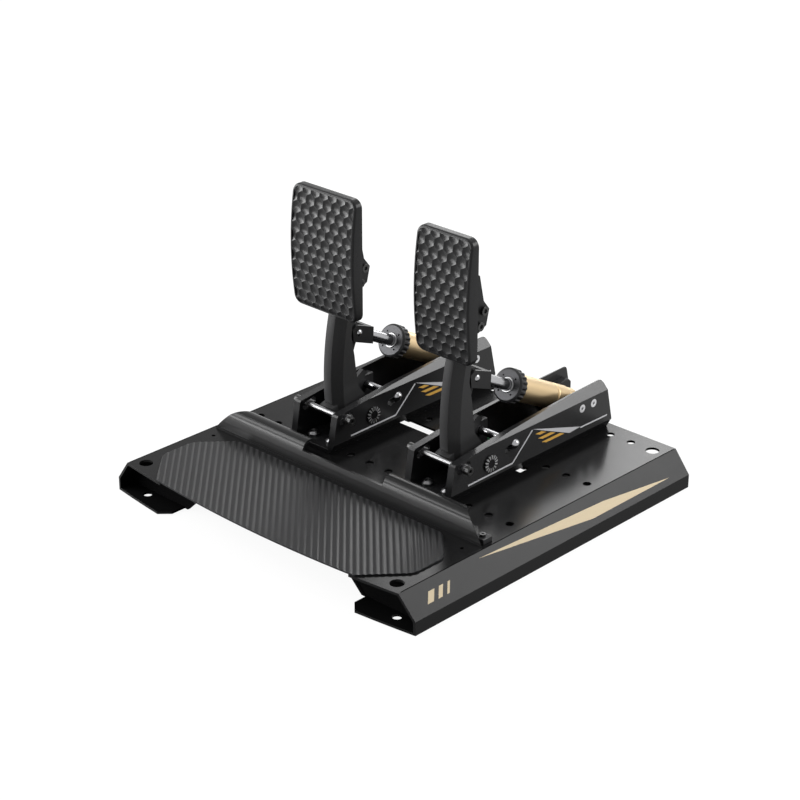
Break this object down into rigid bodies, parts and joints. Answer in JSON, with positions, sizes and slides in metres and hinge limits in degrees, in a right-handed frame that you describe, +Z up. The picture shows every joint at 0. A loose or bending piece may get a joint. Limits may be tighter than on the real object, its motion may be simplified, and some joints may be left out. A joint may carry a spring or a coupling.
{
  "type": "sim racing pedal set",
  "caption": "Brake and throttle pedal modules with adjustable dampers on a bent steel base plate with a ribbed heel mat and heel rest.",
  "frame": {"origin": "middle of the footprint on the floor, at the bottom of the base plate", "axes": "+Z up; +Y away from the driver; +X to the driver's right, towards the throttle"},
  "size_m": [0.41, 0.4146, 0.3034],
  "materials": {
    "base_steel": "satin powder coat",
    "mat_rubber": "ribbed matt",
    "rest_steel": "satin powder coat",
    "black_plastic": "fine matt",
    "screw_steel": "bright zinc",
    "black_screw": "black oxide",
    "wall_metal": "satin black",
    "arm_metal": "satin black",
    "pad_metal": "satin black, dimpled",
    "axle_steel": "ground",
    "rod_chrome": "polished",
    "bush_bronze": "sintered",
    "clevis_metal": "satin black",
    "ring_metal": "black anodised",
    "gold_metal": "gold anodised",
    "grey_metal": "satin grey",
    "elastomer": "matt",
    "board_green": "solder mask"
  },
  "bodies": {
    "root": {"base_plate": "base_steel", "heel_mat": "mat_rubber", "heel_rest": "rest_steel", "heel_rest_feet": "black_plastic", "heel_rest_screws": "screw_steel", "module_bolts": "screw_steel", "pivot_discs": "grey_metal", "countersunk_screws": "screw_steel", "front_rod_screws": "black_screw", "rear_rod_bolts": "rod_chrome", "sensor_boards": "board_green", "brake_left_wall": "wall_metal", "brake_right_wall": "wall_metal", "brake_floor": "wall_metal", "brake_sensor_housing": "black_plastic", "brake_pivot_axle": "axle_steel", "brake_front_rod": "rod_chrome", "brake_rear_rod": "rod_chrome", "brake_rear_blocks": "clevis_metal", "brake_rear_axle": "axle_steel", "throttle_left_wall": "wall_metal", "throttle_right_wall": "wall_metal", "throttle_floor": "wall_metal", "throttle_sensor_housing": "black_plastic", "throttle_pivot_axle": "axle_steel", "throttle_front_rod": "rod_chrome", "throttle_rear_rod": "rod_chrome", "throttle_rear_blocks": "clevis_metal", "throttle_rear_axle": "axle_steel"},
    "brake_pedal": {"brake_arm": "arm_metal", "brake_arm_bushes": "bush_bronze", "brake_magnet": "grey_metal", "brake_pad_bracket": "clevis_metal", "brake_pad": "pad_metal", "brake_pad_screws": "screw_steel"},
    "brake_rod": {"brake_clevis": "clevis_metal", "brake_clevis_pin": "rod_chrome", "brake_damper_rod": "rod_chrome"},
    "brake_damper": {"brake_rod_bush": "rod_chrome", "brake_damper_sleeve": "gold_metal", "brake_damper_tail": "gold_metal", "brake_end_cap": "grey_metal", "brake_elastomers": "elastomer", "brake_load_cell": "axle_steel"},
    "brake_ring": {"brake_preload_ring": "ring_metal"},
    "throttle_pedal": {"throttle_arm": "arm_metal", "throttle_arm_bushes": "bush_bronze", "throttle_magnet": "grey_metal", "throttle_pad_bracket": "clevis_metal", "throttle_pad": "pad_metal", "throttle_pad_screws": "screw_steel"},
    "throttle_rod": {"throttle_clevis": "clevis_metal", "throttle_clevis_pin": "rod_chrome", "throttle_damper_rod": "rod_chrome"},
    "throttle_damper": {"throttle_rod_bush": "rod_chrome", "throttle_damper_sleeve": "gold_metal", "throttle_damper_tail": "gold_metal", "throttle_end_cap": "grey_metal", "throttle_spring": "axle_steel"},
    "throttle_ring": {"throttle_preload_ring": "ring_metal"}
  },
  "joints": [
    {"name": "brake_press", "type": "hinge", "parent": "root", "child": "brake_pedal", "pos_m": [-0.0792, 0.0129, 0.0643], "axis": [-1, 0, 0], "range_deg": [0, 12], "stiffness_Nm_per_rad": 60, "springref_deg": -2.86},
    {"name": "brake_damper_swing", "type": "hinge", "parent": "root", "child": "brake_damper", "pos_m": [-0.0792, 0.17755, 0.0641], "axis": [-1, 0, 0], "range_deg": [0, 2.2]},
    {"name": "brake_rod_slide", "type": "slide", "parent": "brake_damper", "child": "brake_rod", "axis": [0, 0.8902, -0.4556], "range_m": [0, 0.0165], "deforming": ["brake_elastomers"]},
    {"name": "brake_ring_turn", "type": "hinge", "parent": "brake_damper", "child": "brake_ring", "pos_m": [-0.0792, 0.0142, 0.1477], "axis": [0, 0.8902, -0.4556], "range_deg": [-360, 360]},
    {"name": "throttle_press", "type": "hinge", "parent": "root", "child": "throttle_pedal", "pos_m": [0.0792, 0.0129, 0.0643], "axis": [-1, 0, 0], "range_deg": [0, 18], "stiffness_Nm_per_rad": 12, "springref_deg": -6.88},
    {"name": "throttle_damper_swing", "type": "hinge", "parent": "root", "child": "throttle_damper", "pos_m": [0.0792, 0.17755, 0.0641], "axis": [-1, 0, 0], "range_deg": [0, 3]},
    {"name": "throttle_rod_slide", "type": "slide", "parent": "throttle_damper", "child": "throttle_rod", "axis": [0, 0.8902, -0.4556], "range_m": [0, 0.025], "deforming": ["throttle_spring"]},
    {"name": "throttle_ring_turn", "type": "hinge", "parent": "throttle_damper", "child": "throttle_ring", "pos_m": [0.0792, 0.0142, 0.1477], "axis": [0, 0.8902, -0.4556], "range_deg": [-360, 360]}
  ],
  "couplings": [
    {"joint": "brake_damper_swing", "follows": "brake_press", "ratio": 0.177},
    {"joint": "brake_rod_slide", "follows": "brake_press", "m_per_rad": 0.0771},
    {"joint": "throttle_damper_swing", "follows": "throttle_press", "ratio": 0.164},
    {"joint": "throttle_rod_slide", "follows": "throttle_press", "m_per_rad": 0.0782}
  ]
}
